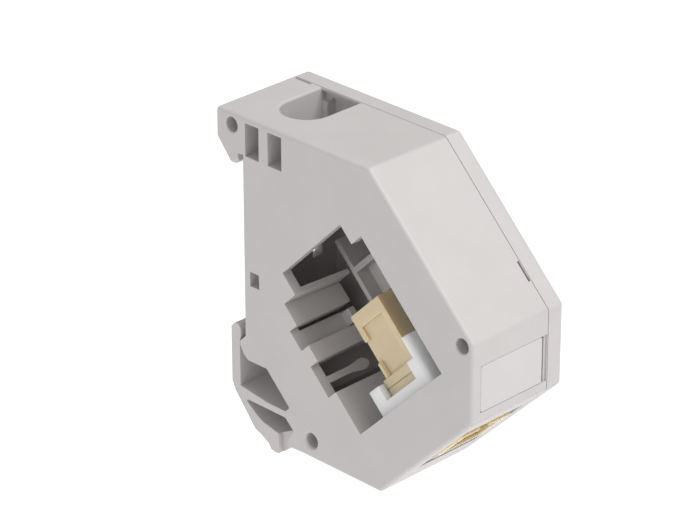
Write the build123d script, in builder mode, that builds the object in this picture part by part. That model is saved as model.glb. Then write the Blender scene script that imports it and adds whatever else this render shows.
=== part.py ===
from build123d import *
from math import sqrt
import os

# A holder that clips on a 35 mm mounting rail and carries one fibre coupler
# in a white keystone frame, with its port facing down and forward.
# X runs along the rail, the front faces -Y and Z is up. The origin is at mid
# width, on the rail's front plane, at the height of the rail's centre line.

# Overall sizes
width = 23.4
cover_depth = 4.14
body_depth = 56.7
top_height = 25.4
bottom_drop = 37.6
upper_slant = 25.2
front_height = 15.7
wall = 2.0
corner_round = 0.9
edge_round = 0.7
far_round = 1.0
seam_groove = 0.16
fit_gap = 0.2

# Mounting rail, and the fixed hook that goes over its top lip
rail_height = 35.0
rail_lip = 1.0
rail_gap = 0.35
hook_reach = 7.0
hook_side = 5.9
hook_drop = 10.1
hook_taper = 2.6

# Sprung foot that catches the rail's bottom lip
foot_reach = 3.8
foot_wall = 2.2
foot_catch = 0.6
foot_root = 12.6
lug_reach = 1.5
lug_drop = 2.6
lug_height = 3.3
pocket_flat = 5.5
pocket_length = 11.2
pocket_depth = 7.0
arm_thickness = 1.3
lower_pocket_length = 12.5
lower_pocket_depth = 4.1
foot_groove_start = 8.55
foot_groove_width = 2.5
foot_groove_depth = 1.0
nose_drop = 2.5
nose_start = 4.0
nose_width = 7.2

# Port, measured down the lower slant from the front's lower edge
port_drop = 13.9
frame_gap = 0.26
lip_thickness = 1.6
receptacle_depth = 10.54
mouth_width = 14.8
mouth_height = 16.5
latch_room = 1.5

# Window in the near side, in the port's own directions
window_low = 13.8
window_high = 14.2
window_notch = 2.6
window_back = 42.44
window_shoulder = 38.4
low_shoulder = 37.87
shoulder_low = 9.8
shoulder_high = 10.9
upper_notch_back = 33.34
upper_notch_front = 29.14
lower_notch_back = 25.84
lower_notch_front = 19.34

# Ribs and the snap tongue inside the window
rib_thickness = 1.1
rib_block = 4.5
rib_length = 13.7
rib_back = 38.9
rib_tip = 0.9
rib_round = 0.5
rib_slit = 0.65
fine_slit = 0.2
block_slope = 0.45
post_width = 1.4
tongue_width = 1.3
tongue_head = 2.2
tongue_head_length = 4.5
tongue_length = 10.4
tongue_thickness = 0.8
tongue_place = 22.37
lattice_reach = 5.1
lattice_length = 13.0
lattice_place = 37.4
platform_reach = 2.2
platform_height = 6.2

# Cable opening in the top, cut a little way into the back wall
cable_width = 9.8
cable_reach = 13.4
cable_back = 0.6
cable_rim = 0.5
cable_depth = 7.2
cable_skin = 0.6
cable_notch = 1.2

# Pegs of the cover, their sockets, and the pockets in the near side
peg_width = 2.4
peg_length = 6.0
socket_bore = 2.9
socket_wall = 1.3
foot_rim = 0.6
front_rim = 0.38
hook_rim = 0.33
hook_socket = (2.9, 22.9)
foot_socket = (-17.0, -34.0)
front_socket = (-54.1, -0.8)
slot_width = 3.5
slot_height = 6.5
slot_depth = 5.2
slot_drop = 1.1
first_slot = 2.35
slot_pitch = 5.8
test_hole_width = 2.4
test_hole_height = 2.9
test_hole_place = (-2.6, -6.4)

# Label on the front
label_width = 15.6
label_height = 9.0
label_depth = 1.0
label_gap = 0.5
label_drop = 4.8
label_shift = -1.6
label_proud = 0.05
label_step = 0.6
label_step_depth = 0.3

# Pry slots on the seam
pry_length = 4.1
pry_width = 0.6
pry_depth = 1.0
pry_top_place = 3.9
pry_slant_place = 27.6

# Opening in the back wall, behind the rail
back_hole_width = 2.5
back_hole_height = 1.9
back_hole_drop = 6.35
back_hole_side = 1.36

# Coupler
mouth_proud = 0.12
coupler_end = 29.2
coupler_width = 12.8
coupler_height = 9.5
coupler_lift = 0.1
side_rib_length = 3.0
side_rib_width = 0.6
side_rib_proud = 0.3
side_rib_place = 3.9
flange_width = 13.6
flange_height = 10.9
flange_thickness = 3.4
flange_front = 12.9
plug_width = 9.3
plug_height = 7.6
key_width = 2.7
key_length = 8.5
side_recess = 0.45
side_border = 2.8
recess_height = 6.8
side_gap_start = 3.1
side_gap_length = 4.4
half_break = 0.2
insert_base = 1.2
insert_width = 10.6
insert_height = 8.4
holder_outer = 4.7
sleeve_outer = 3.2
sleeve_bore = 2.5
sleeve_length = 11.4
sleeve_slit = 0.5
sleeve_gap = 0.1
holder_lip = 0.7
grip_length = 8.6
grip_thickness = 1.0
grip_width = 3.4
grip_nose = 0.6
grip_nose_length = 1.4

# Keystone frame
frame_width = 16.8
frame_height = 16.8
frame_front_width = 14.4
frame_front_height = 16.1
frame_sink = 0.3
frame_length = 20.2
frame_low_end = 15.9
frame_step = 16.2
frame_top_wall = 1.4
frame_side_low = 5.2
frame_side_high = 4.9
frame_round = 1.0
tray_start = 15.0
tray_end = 24.0
tray_thickness = 0.9
tray_inset = 1.5
latch_nose = 1.0
latch_nose_length = 2.4

# Places that follow from the sizes
seam_x = width / 2 - cover_depth
near_x = -width / 2
inner_near = near_x + wall
front_y = -body_depth
front_top = top_height - upper_slant
front_bottom = front_top - front_height
lower_run = front_bottom + bottom_drop
crease_y = front_y + upper_slant
bottom_y = front_y + lower_run
rail_top = rail_height / 2
slant = 1 / sqrt(2)
port_shift = seam_x - frame_gap - frame_width / 2
port_y = front_y + port_drop * slant
port_z = front_bottom - port_drop * slant
catch_top = -rail_top + foot_catch
lug_z = -rail_top - lug_drop
pocket_top = lug_z - lug_height
pocket_floor = pocket_top - pocket_depth
arm_low = pocket_floor - arm_thickness
foot_inner = foot_reach - foot_wall
notch_low = -window_low - window_notch
label_end = label_shift + label_width / 2 + label_gap + fit_gap / 2
post_middle = -(upper_notch_back - rib_slit + upper_notch_front + fine_slit) / 2
post_height = upper_notch_back - upper_notch_front - rib_slit - fine_slit
flange_middle = flange_front + flange_thickness / 2
nose_low = -bottom_drop - nose_drop
holder_length = sleeve_length / 2 + sleeve_gap + holder_lip

# The port's planes. port_plane has x along the rail, y up the slant and z out
# of the mouth. cell_plane lies in the near side, with x up the slant and y out.
port_plane = Plane(origin=(port_shift, port_y, port_z), x_dir=(1, 0, 0), z_dir=(0, -slant, -slant))
cell_plane = Plane(origin=(near_x, port_y, port_z), x_dir=(0, -slant, slant), z_dir=(1, 0, 0))


def side_plane(x):
    """The plane across the holder at one place along the rail."""
    return Plane.YZ.offset(x)


def cell_at(x):
    """The cell plane moved to one place along the rail."""
    return cell_plane.offset(x - near_x)


def port_at(depth):
    """The port plane moved inwards along the port's axis."""
    return port_plane.offset(-depth)


def rib_at(place):
    """The plane along the rail and the port's axis, at one place up the slant."""
    return Plane(origin=(near_x, port_y, port_z), x_dir=(1, 0, 0), z_dir=(0, -slant, slant)).offset(place)


def socket_rims(case):
    """The round edges of the sockets in the near side, the lowest one first."""
    rims = case.edges().filter_by(GeomType.CIRCLE)
    rims = rims.filter_by(lambda e: e.is_closed and e.center().X < near_x + edge_round / 10)
    return rims.sort_by(Axis.Z)


def in_cable_opening(point):
    """Whether a point of the top is within the cable opening or on its edge."""
    across = abs(point.Y - cable_middle) <= cable_width / 2 + fit_gap
    return across and cable_end_x - fit_gap < point.X < seam_x - fit_gap


def middle_plane(outward):
    """The plane where the coupler's halves meet, facing out of the mouth or inwards."""
    return Plane(
        origin=port_at(flange_middle).origin,
        x_dir=(outward, 0, 0),
        z_dir=(0, -outward * slant, -outward * slant),
    )


# Outline of the body in the side plane, from the rail's top round the front
body_points = [
    (0, rail_top + rail_gap),
    (0, top_height),
    (crease_y, top_height),
    (front_y, front_top),
    (front_y, front_bottom),
    (bottom_y, -bottom_drop),
    (-foot_root, -bottom_drop),
    (-foot_root, pocket_floor),
    (-pocket_length + corner_round, pocket_floor),
    (-pocket_length, pocket_floor + corner_round),
    (-pocket_length, pocket_top - pocket_length + pocket_flat),
    (-pocket_flat, pocket_top),
    (-corner_round / 2, pocket_top),
    (lug_reach - corner_round, pocket_top + corner_round),
    (lug_reach, lug_z - corner_round),
    (lug_reach, lug_z),
    (0, lug_z + lug_reach),
]
hook_inner = rail_lip + rail_gap
hook_tip = hook_reach - hook_taper - corner_round
hook_points = [
    (-wall, top_height),
    (hook_reach, top_height),
    (hook_reach, top_height - hook_side),
    (hook_tip, top_height - hook_drop),
    (hook_inner + corner_round, top_height - hook_drop),
    (hook_inner, top_height - hook_drop + corner_round),
    (hook_inner, rail_top + rail_gap),
    (-wall, rail_top + rail_gap),
]
foot_points = [
    (hook_inner, catch_top - corner_round),
    (hook_inner + corner_round / 2, catch_top),
    (foot_reach - corner_round, catch_top),
    (foot_reach, catch_top - corner_round),
    (foot_reach, -top_height - foot_reach),
    (foot_reach - corner_round, -top_height - foot_reach - 2 * corner_round),
    (-nose_start + 2 * corner_round, -bottom_drop + corner_round / 2),
    (-nose_start, -bottom_drop - corner_round / 4),
    (-nose_start - nose_width / 4, nose_low + nose_drop / 2),
    (-nose_start - nose_width / 3, nose_low + corner_round / 3),
    (-nose_start - nose_width / 2, nose_low),
    (-nose_start - nose_width * 2 / 3, nose_low + corner_round / 3),
    (-nose_start - nose_width, -bottom_drop - corner_round / 4),
    (-foot_root - wall, -bottom_drop),
    (-foot_root - wall, pocket_floor),
    (-pocket_flat, pocket_floor),
    (foot_inner, pocket_floor + corner_round),
    (foot_inner, lug_z),
    (hook_inner, lug_z + corner_round),
]
lower_pocket_points = [
    (corner_round / 2, arm_low),
    (-lower_pocket_length + 5 * corner_round / 2, arm_low),
    (-lower_pocket_length, arm_low - lower_pocket_depth / 2),
    (-foot_groove_start, arm_low - lower_pocket_depth),
    (-foot_groove_start / 2, arm_low - lower_pocket_depth + corner_round),
    (-foot_groove_start / 3, arm_low - lower_pocket_depth / 2 - corner_round / 2),
]
foot_groove_end = -foot_groove_start - foot_groove_width
foot_groove_points = [
    (-foot_groove_start, arm_low - lower_pocket_depth / 2),
    (-foot_groove_start, nose_low - corner_round),
    (foot_groove_end, nose_low - corner_round),
    (foot_groove_end, -bottom_drop),
    (foot_groove_end, arm_low - lower_pocket_depth),
    (-lower_pocket_length, arm_low - lower_pocket_depth / 2),
]

# Room inside the body: its walls, less the receptacle and the foot's pockets
inner_step = receptacle_depth / slant
cavity_points = [
    (-wall, top_height - wall),
    (crease_y + wall / 2, top_height - wall),
    (front_y + wall, front_top - wall / 2),
    (front_y + wall, front_bottom + inner_step - wall),
    (bottom_y + (inner_step - wall), -bottom_drop + wall),
    (-foot_root - wall, -bottom_drop + wall),
    (-foot_root - wall, pocket_top - pocket_length + pocket_flat + wall),
    (-pocket_flat - wall, pocket_top + wall),
    (-wall, pocket_top + wall),
]

window_points = [
    (shoulder_high, -window_back),
    (-shoulder_low, -window_back),
    (-shoulder_low, -low_shoulder),
    (-window_low, -low_shoulder),
    (-window_low, -upper_notch_back),
    (notch_low, -upper_notch_back),
    (notch_low, -upper_notch_front),
    (-window_low, -upper_notch_front),
    (-window_low, -lower_notch_back),
    (notch_low, -lower_notch_back),
    (notch_low, -lower_notch_front),
    (-window_low, -lower_notch_front),
    (-window_low, -receptacle_depth),
    (window_high, -receptacle_depth),
    (window_high, -window_shoulder),
    (shoulder_high, -window_shoulder),
]
frame_cut_points = [
    (-frame_height, -2 * frame_length),
    (-frame_height, -frame_low_end),
    (-frame_side_low, -frame_low_end),
    (-frame_side_low, -flange_front),
    (frame_side_high, -flange_front),
    (frame_side_high, -frame_step),
    (frame_height / 2 - frame_top_wall, -frame_step),
    (frame_height / 2 - frame_top_wall, -2 * frame_length),
]
rib_points = [
    (0, low_shoulder),
    (0, rib_back),
    (rib_length, window_shoulder),
    (rib_length, window_shoulder - rib_tip),
]
block_points = [
    (0, upper_notch_back),
    (0, low_shoulder),
    (rib_length, low_shoulder - block_slope),
    (rib_length, upper_notch_back),
]
tongue_points = [
    (-tongue_width / 2, 0),
    (-tongue_width / 2, tongue_length - tongue_head_length),
    (-tongue_head / 2, tongue_length - tongue_head_length / 2),
    (-tongue_head / 2, tongue_length - tongue_head / 2),
    (-tongue_width / 4, tongue_length),
    (tongue_width / 4, tongue_length),
    (tongue_head / 2, tongue_length - tongue_head / 2),
    (tongue_head / 2, tongue_length - tongue_head_length / 2),
    (tongue_width / 2, tongue_length - tongue_head_length),
    (tongue_width / 2, 0),
]
cable_middle = -cable_back - cable_width / 2
cable_end_x = seam_x - cable_reach
socket_places = [hook_socket, foot_socket, front_socket]


# Flat shapes in the side plane that several pieces share
with BuildSketch(Plane.YZ) as body_outline:
    Polygon(*body_points, align=None)
    fillet(body_outline.vertices().filter_by(lambda v: v.X < crease_y + wall), corner_round)
    Polygon(*hook_points, align=None)
    fillet(body_outline.vertices().filter_by(lambda v: v.X > hook_inner + corner_round / 2), corner_round)
with BuildSketch(Plane.YZ) as foot_outline:
    Polygon(*foot_points, align=None)
with BuildSketch(Plane.YZ) as lower_pocket:
    Polygon(*lower_pocket_points, align=None)
    fillet(lower_pocket.vertices().sort_by(Axis.X)[1], corner_round)
    fillet(lower_pocket.vertices().sort_by(Axis.X)[3:], corner_round / 3)
    fillet(lower_pocket.vertices().sort_by(Axis.X)[0], corner_round / 3)
with BuildSketch(Plane.YZ) as cavity:
    Polygon(*cavity_points, align=None)
with BuildSketch(Plane.YZ) as foot_groove:
    Polygon(*foot_groove_points, align=None)
with BuildSketch() as rib_block_outline:
    Polygon(*block_points, align=None)
    fillet(rib_block_outline.vertices().group_by(Axis.X)[-1], rib_round)


pry_slant_plane = Plane(
    origin=(seam_x, crease_y - pry_slant_place * slant, top_height - pry_slant_place * slant),
    x_dir=(0, -slant, slant),
    z_dir=(1, 0, 0),
)
tongue_root = cell_at(inner_near).from_local_coords((notch_low, -tongue_place, 0))
tongue_plane = Plane(origin=tongue_root, x_dir=(0, slant, slant), z_dir=(0, slant, -slant))


# Main housing: a tub open to the cover, with the hook and the sprung foot
with BuildPart() as housing:
    with BuildSketch(side_plane(near_x)):
        add(body_outline.sketch_local)
        add(foot_outline.sketch_local)
        add(lower_pocket.sketch_local, mode=Mode.SUBTRACT)
    extrude(amount=seam_x - near_x)
    near_rim = housing.faces().sort_by(Axis.X)[0].outer_wire().edges()
    round_line = top_height - corner_round
    soft_rim = near_rim.filter_by(lambda e: e.center().Y < -foot_root or e.center().Z > round_line)
    fillet(soft_rim, edge_round)
    with BuildSketch(side_plane(inner_near)):
        add(cavity.sketch_local)
    extrude(amount=seam_x - inner_near, mode=Mode.SUBTRACT)
    # Window through the near side
    with BuildSketch(cell_at(near_x)):
        Polygon(*window_points, align=None)
    extrude(amount=wall, mode=Mode.SUBTRACT)
    # Rib blocks that stand on the near side, along the window's low edge
    with BuildSketch(cell_at(inner_near)):
        with Locations((notch_low - rib_block / 2, post_middle)):
            Rectangle(rib_block, post_height)
        with Locations((-window_low - rib_block / 2, -(upper_notch_front + lower_notch_back) / 2)):
            Rectangle(rib_block, upper_notch_front - lower_notch_back)
    extrude(amount=rib_length - wall)
    with BuildSketch(rib_at(-window_low)):
        add(rib_block_outline.sketch_local)
    extrude(amount=-rib_block)
    with BuildSketch(rib_at(-shoulder_low)):
        Polygon(*rib_points, align=None)
    extrude(amount=-rib_block)
    # Post at the end of the lower rib block
    with BuildSketch(cell_at(near_x + rib_length - post_width)):
        with Locations((-window_low - rib_block / 2, post_middle)):
            Rectangle(rib_block, post_height - rib_slit)
    extrude(amount=post_width)
    # Wall beside the keystone chamber, up to the receptacle
    with BuildSketch(cell_at(inner_near)):
        with Locations((-window_low - wall / 2, -(lower_notch_front + receptacle_depth - wall / 2) / 2)):
            Rectangle(wall, lower_notch_front - receptacle_depth + wall / 2)
    extrude(amount=seam_x - inner_near)
    # Snap tongue from the near side, level with the window's lower notch
    with BuildSketch(tongue_plane):
        Polygon(*tongue_points, align=None)
    extrude(amount=tongue_thickness)
    # Keystone chamber behind the lower slant, and its lip's mouth
    with BuildSketch(port_at(lip_thickness)):
        with Locations((0, latch_room / 2)):
            Rectangle(frame_width + 2 * fit_gap, frame_height + 2 * fit_gap + latch_room)
    extrude(amount=-(receptacle_depth - lip_thickness), mode=Mode.SUBTRACT)
    with BuildSketch(port_at(lip_thickness)):
        Rectangle(mouth_width, mouth_height)
    extrude(amount=lip_thickness, mode=Mode.SUBTRACT)
    # Cored block under the top, and the cable opening beside it
    with BuildSketch(side_plane(inner_near)):
        with Locations((-(first_slot + slot_pitch + slot_width) / 2, top_height - wall - slot_height / 2)):
            Rectangle(first_slot + slot_pitch + slot_width, slot_height + wall)
    extrude(amount=cable_end_x - inner_near)
    with BuildSketch(Plane.XY.offset(top_height)):
        with Locations((cable_end_x + cable_width / 2, cable_middle)):
            Circle(cable_width / 2)
        with Locations(((cable_end_x + cable_width / 2 + seam_x) / 2, cable_middle)):
            Rectangle(seam_x - cable_end_x - cable_width / 2, cable_width)
    extrude(amount=-cable_depth, mode=Mode.SUBTRACT)
    top_edges = housing.faces().sort_by(Axis.Z)[-1].edges()
    fillet(top_edges.filter_by(lambda e: e.center().Y < 0 and in_cable_opening(e.center())), cable_rim)
    # Cored slots and the test hole in the near side
    with BuildSketch(side_plane(near_x)):
        for place in range(2):
            with Locations((-first_slot - place * slot_pitch, top_height - slot_drop - slot_height / 2)):
                Rectangle(slot_width, slot_height)
    extrude(amount=slot_depth, mode=Mode.SUBTRACT)
    with BuildSketch(side_plane(near_x)):
        with Locations(test_hole_place):
            Rectangle(test_hole_width, test_hole_height)
    extrude(amount=wall, mode=Mode.SUBTRACT)
    # Sockets for the cover's pegs, with soft rims in the near side
    with BuildSketch(side_plane(inner_near)):
        with Locations(foot_socket, front_socket):
            Circle(socket_bore / 2 + socket_wall)
    extrude(amount=seam_x - inner_near)
    with BuildSketch(side_plane(near_x)):
        with Locations(*socket_places):
            Circle(socket_bore / 2)
    extrude(amount=seam_x - near_x, mode=Mode.SUBTRACT)
    fillet(socket_rims(housing)[2], hook_rim)
    fillet(socket_rims(housing)[1], front_rim)
    fillet(socket_rims(housing)[0], foot_rim)
    # Keep what was added inside the outline
    with BuildSketch(side_plane(near_x)):
        add(body_outline.sketch_local)
        add(foot_outline.sketch_local)
        add(lower_pocket.sketch_local, mode=Mode.SUBTRACT)
    extrude(amount=seam_x - near_x, mode=Mode.INTERSECT)
    # Shallow groove from the lower pocket down across the foot's nose
    with BuildSketch(side_plane(near_x)):
        add(foot_groove.sketch_local)
    extrude(amount=foot_groove_depth, mode=Mode.SUBTRACT)
    # Label recess, with a gap at its far end
    with BuildSketch(Plane.XZ.offset(body_depth)):
        with Locations((label_shift + label_gap / 2, front_top - label_drop - label_height / 2)):
            Rectangle(label_width + label_gap + fit_gap, label_height + fit_gap)
    extrude(amount=-label_depth, mode=Mode.SUBTRACT)
    with BuildSketch(Plane.XZ.offset(body_depth)):
        with Locations((label_end + label_step / 2, front_top - label_drop - label_height / 2)):
            Rectangle(label_step, label_height + fit_gap)
    extrude(amount=-label_step_depth, mode=Mode.SUBTRACT)
    # Pry slots on the seam, and the opening in the back wall
    with BuildSketch(side_plane(seam_x)):
        with Locations((pry_top_place, top_height - pry_depth / 2)):
            Rectangle(pry_length, pry_depth)
    extrude(amount=-pry_width, mode=Mode.SUBTRACT)
    with BuildSketch(pry_slant_plane):
        Rectangle(2 * pry_depth, pry_length)
    extrude(amount=-pry_width, mode=Mode.SUBTRACT)
    with BuildSketch(Plane.XZ):
        with Locations((seam_x - back_hole_side - back_hole_width / 2, -back_hole_drop)):
            Rectangle(back_hole_width, back_hole_height)
    extrude(amount=wall, mode=Mode.SUBTRACT)
housing.part.label = "housing"

# Side cover: a shallow tray over the far side, with three pegs and a cross of ribs
with BuildPart() as side_cover:
    with BuildSketch(side_plane(seam_x)):
        add(body_outline.sketch_local)
        offset(amount=-seam_groove, kind=Kind.INTERSECTION, mode=Mode.REPLACE)
    extrude(amount=seam_groove)
    with BuildSketch(side_plane(seam_x + seam_groove)):
        add(body_outline.sketch_local)
    extrude(amount=cover_depth - seam_groove)
    far_rim = side_cover.faces().sort_by(Axis.X)[-1].outer_wire().edges()
    fillet(far_rim.filter_by(lambda e: e.center().Y < -foot_root or e.center().Z > round_line), far_round)
    with BuildSketch(side_plane(seam_x)):
        add(cavity.sketch_local)
    extrude(amount=cover_depth - wall, mode=Mode.SUBTRACT)
    with BuildSketch(side_plane(seam_x)):
        with Locations(foot_socket, front_socket):
            Circle((peg_width + wall) / 2)
    extrude(amount=cover_depth - wall)
    with BuildSketch(side_plane(seam_x)):
        with Locations(*socket_places):
            Circle(peg_width / 2)
    extrude(amount=-peg_length)
    # Room beside the cable opening, under a thin skin
    with BuildSketch(side_plane(seam_x)):
        with Locations((cable_middle, top_height - cable_skin - wall / 2)):
            Rectangle(cable_width, wall)
    extrude(amount=cable_notch, mode=Mode.SUBTRACT)
    # Ribs that cross behind the coupler, and the pad beside them
    with BuildSketch(cell_at(seam_x - lattice_reach)):
        with Locations((-shoulder_low + rib_thickness / 2, -lattice_place)):
            Rectangle(rib_thickness, lattice_length)
        with Locations((shoulder_high / 2, -lattice_place)):
            Rectangle(2 * shoulder_low + shoulder_high, rib_thickness)
    extrude(amount=lattice_reach + cover_depth - wall)
    with BuildSketch(cell_at(seam_x - platform_reach)):
        with Locations((shoulder_high / 2, -lattice_place + platform_height / 2)):
            Rectangle(2 * shoulder_low + shoulder_high - 2 * rib_thickness, platform_height)
    extrude(amount=platform_reach + cover_depth - wall)
side_cover.part.label = "side_cover"

# Label plate, flush in its recess
with BuildPart() as label_plate:
    with BuildSketch(Plane.XZ.offset(body_depth - label_depth)):
        with Locations((label_shift, front_top - label_drop - label_height / 2)):
            RectangleRounded(label_width, label_height, label_depth / 2)
    extrude(amount=label_depth - label_proud)
label_plate.part.label = "label_plate"

# Keystone frame: a cage round the coupler, open to the near side
with BuildPart() as keystone_frame:
    with BuildSketch(port_at(lip_thickness + fit_gap)):
        Rectangle(frame_width, frame_height)
    extrude(amount=-(frame_length - lip_thickness - fit_gap))
    with BuildSketch(port_at(frame_sink)):
        Rectangle(frame_front_width, frame_front_height)
    extrude(amount=-(lip_thickness + fit_gap - frame_sink))
    top_line = frame_height / 2 - fit_gap
    top_edges = keystone_frame.edges().filter_by(Axis(port_plane.origin, port_plane.z_dir))
    top_edges = top_edges.filter_by(lambda e: port_plane.to_local_coords(e.center()).Y > top_line)
    fillet(top_edges, frame_round)
    # Side walls, lower than the top and bottom arms
    with BuildSketch(cell_at(near_x)):
        Polygon(*frame_cut_points, align=None)
    extrude(amount=width, mode=Mode.SUBTRACT)
    # Tray under the coupler, and the nose that holds in the chamber
    with BuildSketch(port_at(tray_start)):
        with Locations((0, coupler_lift - coupler_height / 2 - tray_thickness / 2)):
            Rectangle(coupler_width - 2 * tray_inset, tray_thickness)
    extrude(amount=-(tray_end - tray_start))
    with BuildSketch(port_at(lip_thickness + fit_gap)):
        with Locations((0, frame_height / 2 + latch_nose / 2)):
            Rectangle(coupler_height, latch_nose)
    extrude(amount=-latch_nose_length)
    # Room for the coupler's body, its side ribs and its flange
    with BuildSketch(port_plane):
        with Locations((0, coupler_lift)):
            Rectangle(coupler_width + 2 * side_rib_proud + fit_gap, coupler_height + fit_gap)
    extrude(amount=-frame_length, mode=Mode.SUBTRACT)
    with BuildSketch(port_at(flange_front - fit_gap / 2)):
        with Locations((0, coupler_lift)):
            Rectangle(flange_width + fit_gap, flange_height + fit_gap)
    extrude(amount=-(flange_thickness + fit_gap), mode=Mode.SUBTRACT)
keystone_frame.part.label = "keystone_frame"


def coupler_half(outward, length):
    """One moulded half of the coupler, from the middle of the flange to its mouth."""
    middle = middle_plane(outward)
    side_long = length - side_border - flange_thickness / 2
    gap_height = (coupler_height - recess_height) / 2
    gap_place = coupler_lift - coupler_height / 2 + gap_height / 2
    with BuildPart() as half:
        with BuildSketch(middle):
            with Locations((0, coupler_lift)):
                Rectangle(coupler_width, coupler_height)
        extrude(amount=length)
        with BuildSketch(middle):
            with Locations((0, coupler_lift)):
                Rectangle(flange_width, flange_height)
        extrude(amount=flange_thickness / 2)
        flange_rim = half.faces().sort_by(Axis(middle.origin, middle.z_dir))[0].outer_wire().edges()
        chamfer(flange_rim, half_break)
        with BuildSketch(middle):
            with Locations((0, coupler_lift)):
                Rectangle(plug_width, plug_height)
        extrude(amount=length, mode=Mode.SUBTRACT)
        with BuildSketch(middle):
            with Locations((0, coupler_lift)):
                Rectangle(insert_width, insert_height)
        extrude(amount=insert_base, mode=Mode.SUBTRACT)
        # Keyway in the top wall, open at the mouth
        with BuildSketch(middle.offset(length)):
            with Locations((0, coupler_lift + coupler_height / 2)):
                Rectangle(key_width, coupler_height)
        extrude(amount=-key_length, mode=Mode.SUBTRACT)
        # Shallow recess in each side, and a small rib by the flange
        with BuildSketch(middle.offset(flange_thickness / 2)):
            with Locations((coupler_width / 2, coupler_lift), (-coupler_width / 2, coupler_lift)):
                Rectangle(2 * side_recess, recess_height)
        extrude(amount=side_long, mode=Mode.SUBTRACT)
        with BuildSketch(middle.offset(flange_thickness / 2 + side_gap_start)):
            with Locations((coupler_width / 2, gap_place), (-coupler_width / 2, gap_place)):
                Rectangle(2 * side_recess, gap_height)
        extrude(amount=side_gap_length, mode=Mode.SUBTRACT)
        with BuildSketch(middle.offset(flange_thickness / 2)):
            with Locations((coupler_width / 2, coupler_lift), (-coupler_width / 2, coupler_lift)):
                with Locations((0, -side_rib_place)):
                    Rectangle(2 * side_rib_proud, side_rib_width)
        extrude(amount=side_rib_length)
    return half


def latch_insert(outward):
    """A base plate with the sleeve holder and two hooks that grip a plug."""
    middle = middle_plane(outward)
    with BuildPart() as insert:
        with BuildSketch(middle):
            with Locations((0, coupler_lift)):
                Rectangle(insert_width - fit_gap, insert_height - fit_gap)
        extrude(amount=insert_base)
        with BuildSketch(middle):
            with Locations((0, coupler_lift)):
                Circle(holder_outer / 2)
        extrude(amount=holder_length)
        with BuildSketch(middle):
            with Locations((0, coupler_lift)):
                Circle(sleeve_outer / 2 + sleeve_gap)
        extrude(amount=holder_length - holder_lip, mode=Mode.SUBTRACT)
        with BuildSketch(middle):
            with Locations((0, coupler_lift)):
                Circle(sleeve_bore / 2 + sleeve_gap)
        extrude(amount=holder_length, mode=Mode.SUBTRACT)
        for side in (-1, 1):
            arm_x = side * (plug_width / 2 - fit_gap - grip_thickness / 2)
            nose_x = side * (plug_width / 2 - fit_gap - grip_thickness - grip_nose / 2)
            with BuildSketch(middle):
                with Locations((arm_x, coupler_lift)):
                    Rectangle(grip_thickness, grip_width)
            extrude(amount=grip_length)
            with BuildSketch(middle.offset(grip_length - grip_nose_length)):
                with Locations((nose_x, coupler_lift)):
                    Rectangle(grip_nose, grip_width)
            extrude(amount=grip_nose_length)
    return insert


# Coupler: two moulded halves that meet in the middle of the flange
coupler_front = coupler_half(1, flange_middle + mouth_proud)
coupler_front.part.label = "coupler_front"
coupler_rear = coupler_half(-1, coupler_end - flange_middle)
coupler_rear.part.label = "coupler_rear"

# Latch inserts, back to back between the halves
latch_insert_front = latch_insert(1)
latch_insert_front.part.label = "latch_insert_front"
latch_insert_rear = latch_insert(-1)
latch_insert_rear.part.label = "latch_insert_rear"

# Alignment sleeve, slit along its length, held in both inserts
with BuildPart() as alignment_sleeve:
    with BuildSketch(middle_plane(1).offset(-sleeve_length / 2)):
        with Locations((0, coupler_lift)):
            Circle(sleeve_outer / 2)
            Circle(sleeve_bore / 2, mode=Mode.SUBTRACT)
        with Locations((0, coupler_lift - sleeve_outer / 2)):
            Rectangle(sleeve_slit, sleeve_outer, mode=Mode.SUBTRACT)
    extrude(amount=sleeve_length)
alignment_sleeve.part.label = "alignment_sleeve"

pieces = [
    housing,
    side_cover,
    label_plate,
    keystone_frame,
    coupler_front,
    coupler_rear,
    latch_insert_front,
    latch_insert_rear,
    alignment_sleeve,
]
os.makedirs("parts", exist_ok=True)
for piece in pieces:
    export_step(piece.part, f"parts/{piece.part.label}.step")
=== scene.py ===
import math

import bpy
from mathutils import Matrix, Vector


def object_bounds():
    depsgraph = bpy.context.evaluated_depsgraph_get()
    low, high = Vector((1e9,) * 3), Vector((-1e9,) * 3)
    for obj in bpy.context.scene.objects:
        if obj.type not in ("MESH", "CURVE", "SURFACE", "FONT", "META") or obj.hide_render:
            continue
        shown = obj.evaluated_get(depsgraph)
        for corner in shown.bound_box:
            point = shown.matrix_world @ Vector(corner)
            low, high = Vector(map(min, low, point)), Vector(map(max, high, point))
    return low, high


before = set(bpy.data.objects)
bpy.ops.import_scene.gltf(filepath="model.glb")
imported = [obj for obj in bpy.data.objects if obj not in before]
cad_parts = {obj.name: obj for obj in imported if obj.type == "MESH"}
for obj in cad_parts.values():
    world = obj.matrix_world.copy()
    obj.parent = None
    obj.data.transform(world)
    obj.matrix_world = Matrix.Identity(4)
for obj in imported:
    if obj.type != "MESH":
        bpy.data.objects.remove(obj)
cad_low, cad_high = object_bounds()

MM = 0.001
scene = bpy.context.scene

# The photograph's frame, in pixels
IMAGE_WIDTH = 700
IMAGE_HEIGHT = 530
FOCAL_PIXELS = 3448.4
CENTRE_PIXEL = (349.0, 264.8)

# The camera's place, its turn in degrees, its sensor's width in millimetres and its range
CAMERA_PLACE = (-395.44 * MM, -410.49 * MM, 273.51 * MM)
CAMERA_TURN = (63.70, 0.03, -45.02)
SENSOR = 36.0
CLIP_NEAR = 0.01
CLIP_FAR = 50

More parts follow.
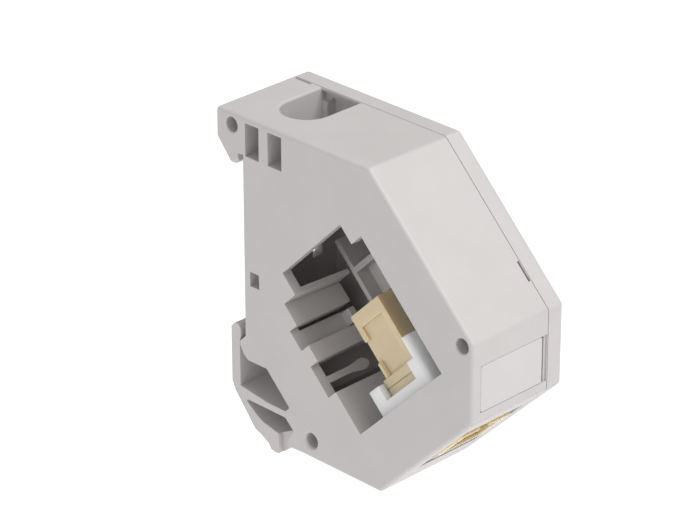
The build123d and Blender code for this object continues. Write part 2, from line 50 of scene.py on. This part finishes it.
# Floor and surround
WHITE = (1.0, 1.0, 1.0)
FLOOR_DROP = 300.0 * MM
FLOOR_SIZE = 9.0
FLOOR_COLOUR = (0.95, 0.95, 0.95)
FLOOR_ROUGHNESS = 0.9
FLOOR_GLOW = 0.42
SURROUND_GLOW = 0.51

# Soft boxes: the key in front of the part and above it, the fill beside the window
KEY_PLACE = (0.18, -0.64, 1.0)
KEY_TARGET = (0, -0.02, 0)
KEY_SIZE = 0.7
KEY_POWER = 11.7
FILL_PLACE = (-0.88, -0.34, 0.42)
FILL_TARGET = (0, -0.03, 0)
FILL_SIZE = 0.6
FILL_POWER = 2.15

# Softened edges of the mouldings, and the angle in degrees from which an edge is softened
EDGE_BREAK = 0.16 * MM
EDGE_SEGMENTS = 2
EDGE_ANGLE = 38
WELD_DISTANCE = 0.002 * MM

# Colours, as linear red, green and blue
CASE_GREY = (0.489, 0.466, 0.46)
LABEL_GREY = (0.52, 0.498, 0.492)
FRAME_WHITE = (0.75, 0.755, 0.765)
COUPLER_BEIGE = (0.595, 0.485, 0.315)
INSERT_IVORY = (0.62, 0.55, 0.42)
SLEEVE_BRONZE = (0.72, 0.48, 0.24)

# Plastic's refraction, and how far light spreads inside the pale plastics
REFRACTION = 1.46
GLOW_REACH = 2.0 * MM
EVEN_SPREAD = (1.0, 1.0, 1.0)
WIDE_SPREAD = (2.0, 2.0, 2.0)
WARM_SPREAD = (1.5, 1.1, 0.7)

# Noise textures: scale in waves per metre, detail and roughness
DRIFT_NOISE = (90.0, 3.0, 0.55)
SPECK_NOISE = (2600.0, 1.0, 0.4)
GLOSS_NOISE = (420.0, 4.0, 0.6)
WAVE_NOISE = (140.0, 2.0, 0.5)
GRAIN_DETAIL = 3.0
GRAIN_ROUGHNESS = 0.6

# Where the noise turns into colour, and how much gloss and relief it gives
COLOUR_DRIFT = 0.025
DRIFT_BAND = (0.3, 0.7)
SPECK_BAND = (0.28, 0.42)
GLOSS_SPREAD = 0.05
GRAIN_STRENGTH = 0.35
WAVE_STRENGTH = 0.25
WAVE_DEPTH = 0.03 * MM

# Distance between the nodes of a material in the editor
NODE_PITCH = 300

# Finishes: colour and its drift, roughness, the grain's waves per metre and depth,
# and how much of the light spreads inside
CASE_FINISH = dict(colour=CASE_GREY, rough=0.46, grain=5.0 / MM, grain_depth=0.05 * MM)
LABEL_FINISH = dict(colour=LABEL_GREY, rough=0.38, grain=4.0 / MM, grain_depth=0.02 * MM)
INSERT_FINISH = dict(colour=INSERT_IVORY, rough=0.36, grain=4.0 / MM, grain_depth=0.02 * MM)
FRAME_FINISH = dict(
    colour=FRAME_WHITE,
    drift=0.015,
    rough=0.34,
    grain=4.0 / MM,
    grain_depth=0.02 * MM,
    glow=0.9,
    spread=WIDE_SPREAD,
)
COUPLER_FINISH = dict(
    colour=COUPLER_BEIGE,
    drift=0.03,
    rough=0.36,
    grain=4.0 / MM,
    grain_depth=0.03 * MM,
    glow=0.7,
    spread=WARM_SPREAD,
)
SLEEVE_FINISH = dict(
    colour=SLEEVE_BRONZE,
    rough=0.28,
    grain=9.0 / MM,
    grain_depth=0.01 * MM,
    metallic=1.0,
)

# The material of each piece, and its finish
MATERIALS = {
    "housing": ("case_plastic", CASE_FINISH),
    "side_cover": ("cover_plastic", CASE_FINISH),
    "label_plate": ("label_plastic", LABEL_FINISH),
    "keystone_frame": ("frame_plastic", FRAME_FINISH),
    "coupler_front": ("coupler_plastic_front", COUPLER_FINISH),
    "coupler_rear": ("coupler_plastic_rear", COUPLER_FINISH),
    "latch_insert_front": ("insert_plastic_front", INSERT_FINISH),
    "latch_insert_rear": ("insert_plastic_rear", INSERT_FINISH),
    "alignment_sleeve": ("sleeve_bronze", SLEEVE_FINISH),
}


def opaque(colour):
    """A colour with full alpha, as the shaders' sockets take it."""
    return (*colour, 1.0)


def shade(colour, factor):
    """A colour made lighter or darker."""
    return tuple(min(1.0, channel * factor) for channel in colour)


def add_node(tree, kind, column, row, **values):
    """Add a node at a place in the editor and set its named properties or inputs."""
    node = tree.nodes.new(kind)
    node.location = (column * NODE_PITCH, -row * NODE_PITCH)
    for key, value in values.items():
        if hasattr(node, key):
            setattr(node, key, value)
        else:
            node.inputs[key.replace("_", " ")].default_value = value
    return node


def add_noise(tree, row, place, scale, detail, roughness):
    """A noise texture in the piece's own space."""
    node = add_node(tree, "ShaderNodeTexNoise", 1, row, Scale=scale, Detail=detail, Roughness=roughness)
    tree.links.new(place.outputs["Object"], node.inputs["Vector"])
    return node


def add_ramp(tree, row, source, band, colours):
    """A colour ramp over a band of the source, from the first colour to the second."""
    node = add_node(tree, "ShaderNodeValToRGB", 2, row)
    for element, position, colour in zip(node.color_ramp.elements, band, colours):
        element.position = position
        element.color = opaque(colour)
    tree.links.new(source.outputs["Fac"], node.inputs["Fac"])
    return node


def add_colour(tree, shader, place, colour, drift):
    """Faint drift in the colour, with faint darker specks."""
    flow = add_noise(tree, 0, place, *DRIFT_NOISE)
    flow_colours = (shade(colour, 1 - drift), shade(colour, 1 + drift))
    flow_ramp = add_ramp(tree, 0, flow, DRIFT_BAND, flow_colours)
    speck = add_noise(tree, 1, place, *SPECK_NOISE)
    speck_ramp = add_ramp(tree, 1, speck, SPECK_BAND, (shade(WHITE, 1 - drift / 2), WHITE))
    mix = add_node(tree, "ShaderNodeMix", 3, 0, data_type="RGBA", blend_type="MULTIPLY")
    mix.inputs["Factor"].default_value = 1.0
    tree.links.new(flow_ramp.outputs["Color"], mix.inputs["A"])
    tree.links.new(speck_ramp.outputs["Color"], mix.inputs["B"])
    tree.links.new(mix.outputs["Result"], shader.inputs["Base Color"])


def add_gloss(tree, shader, place, rough):
    """Roughness that varies a little over the surface."""
    gloss = add_noise(tree, 2, place, *GLOSS_NOISE)
    gloss_map = add_node(tree, "ShaderNodeMapRange", 2, 2)
    gloss_map.inputs["To Min"].default_value = rough - GLOSS_SPREAD
    gloss_map.inputs["To Max"].default_value = rough + GLOSS_SPREAD
    tree.links.new(gloss.outputs["Fac"], gloss_map.inputs["Value"])
    tree.links.new(gloss_map.outputs["Result"], shader.inputs["Roughness"])


def add_relief(tree, shader, place, scale, depth):
    """Fine grain on top of wide, shallow waves."""
    grain = add_noise(tree, 3, place, scale, GRAIN_DETAIL, GRAIN_ROUGHNESS)
    wave = add_noise(tree, 4, place, *WAVE_NOISE)
    fine_bump = add_node(tree, "ShaderNodeBump", 3, 3, Strength=GRAIN_STRENGTH, Distance=depth)
    wide_bump = add_node(tree, "ShaderNodeBump", 2, 4, Strength=WAVE_STRENGTH, Distance=WAVE_DEPTH)
    tree.links.new(wave.outputs["Fac"], wide_bump.inputs["Height"])
    tree.links.new(grain.outputs["Fac"], fine_bump.inputs["Height"])
    tree.links.new(wide_bump.outputs["Normal"], fine_bump.inputs["Normal"])
    tree.links.new(fine_bump.outputs["Normal"], shader.inputs["Normal"])


def make_material(
    name, colour, rough, grain, grain_depth, drift=COLOUR_DRIFT, glow=0.0, spread=EVEN_SPREAD, metallic=0.0
):
    """A surface with slightly uneven colour, gloss and grain, and light that may spread inside it."""
    material = bpy.data.materials.new(name)
    material.use_nodes = True
    tree = material.node_tree
    tree.nodes.clear()
    output = add_node(tree, "ShaderNodeOutputMaterial", 5, 0)
    shader = add_node(tree, "ShaderNodeBsdfPrincipled", 4, 0, IOR=REFRACTION, Metallic=metallic)
    shader.inputs["Subsurface Weight"].default_value = glow
    shader.inputs["Subsurface Radius"].default_value = spread
    shader.inputs["Subsurface Scale"].default_value = GLOW_REACH
    place = add_node(tree, "ShaderNodeTexCoord", 0, 0)
    add_colour(tree, shader, place, colour, drift)
    add_gloss(tree, shader, place, rough)
    add_relief(tree, shader, place, grain, grain_depth)
    tree.links.new(shader.outputs["BSDF"], output.inputs["Surface"])
    return material


def dress(node, material):
    """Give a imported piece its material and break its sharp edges."""
    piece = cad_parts[node]
    piece.data.materials.clear()
    piece.data.materials.append(material)
    weld = piece.modifiers.new("weld", "WELD")
    weld.merge_threshold = WELD_DISTANCE
    bevel = piece.modifiers.new("edge_break", "BEVEL")
    bevel.width = EDGE_BREAK
    bevel.segments = EDGE_SEGMENTS
    bevel.limit_method = "ANGLE"
    bevel.angle_limit = math.radians(EDGE_ANGLE)
    bevel.use_clamp_overlap = True
    bevel.harden_normals = True


def make_floor():
    """A plain pale floor, far below the part so that it stays even."""
    mesh = bpy.data.meshes.new("floor")
    half = FLOOR_SIZE / 2
    level = cad_low.z - FLOOR_DROP
    corners = [(-half, -half, level), (half, -half, level), (half, half, level), (-half, half, level)]
    mesh.from_pydata(corners, [], [(0, 1, 2, 3)])
    floor = bpy.data.objects.new("floor", mesh)
    scene.collection.objects.link(floor)
    material = bpy.data.materials.new("floor")
    material.use_nodes = True
    shader = material.node_tree.nodes["Principled BSDF"]
    shader.inputs["Base Color"].default_value = opaque(FLOOR_COLOUR)
    shader.inputs["Roughness"].default_value = FLOOR_ROUGHNESS
    shader.inputs["Emission Color"].default_value = opaque(WHITE)
    shader.inputs["Emission Strength"].default_value = FLOOR_GLOW
    mesh.materials.append(material)


def soft_light(name, place, target, size, power):
    """A square soft box that faces its target."""
    data = bpy.data.lights.new(name, "AREA")
    data.size = size
    data.energy = power
    light = bpy.data.objects.new(name, data)
    light.location = place
    light.rotation_euler = (Vector(target) - Vector(place)).to_track_quat("-Z", "Y").to_euler()
    scene.collection.objects.link(light)


def make_world():
    """An even white surround."""
    world = bpy.data.worlds.new("surround")
    world.use_nodes = True
    background = world.node_tree.nodes["Background"]
    background.inputs["Color"].default_value = opaque(WHITE)
    background.inputs["Strength"].default_value = SURROUND_GLOW
    scene.world = world


def make_camera():
    """The photograph's own view."""
    data = bpy.data.cameras.new("camera")
    data.sensor_width = SENSOR
    data.lens = FOCAL_PIXELS / IMAGE_WIDTH * SENSOR
    data.shift_x = (IMAGE_WIDTH / 2 - CENTRE_PIXEL[0]) / IMAGE_WIDTH
    data.shift_y = (CENTRE_PIXEL[1] - IMAGE_HEIGHT / 2) / IMAGE_WIDTH
    data.clip_start = CLIP_NEAR
    data.clip_end = CLIP_FAR
    camera = bpy.data.objects.new("camera", data)
    camera.location = CAMERA_PLACE
    camera.rotation_euler = tuple(math.radians(turn) for turn in CAMERA_TURN)
    scene.collection.objects.link(camera)
    scene.camera = camera


for node, (name, finish) in MATERIALS.items():
    dress(node, make_material(name, **finish))
make_camera()
make_floor()
make_world()
soft_light("key", KEY_PLACE, KEY_TARGET, KEY_SIZE, KEY_POWER)
soft_light("fill", FILL_PLACE, FILL_TARGET, FILL_SIZE, FILL_POWER)
scene.view_settings.view_transform = "Standard"
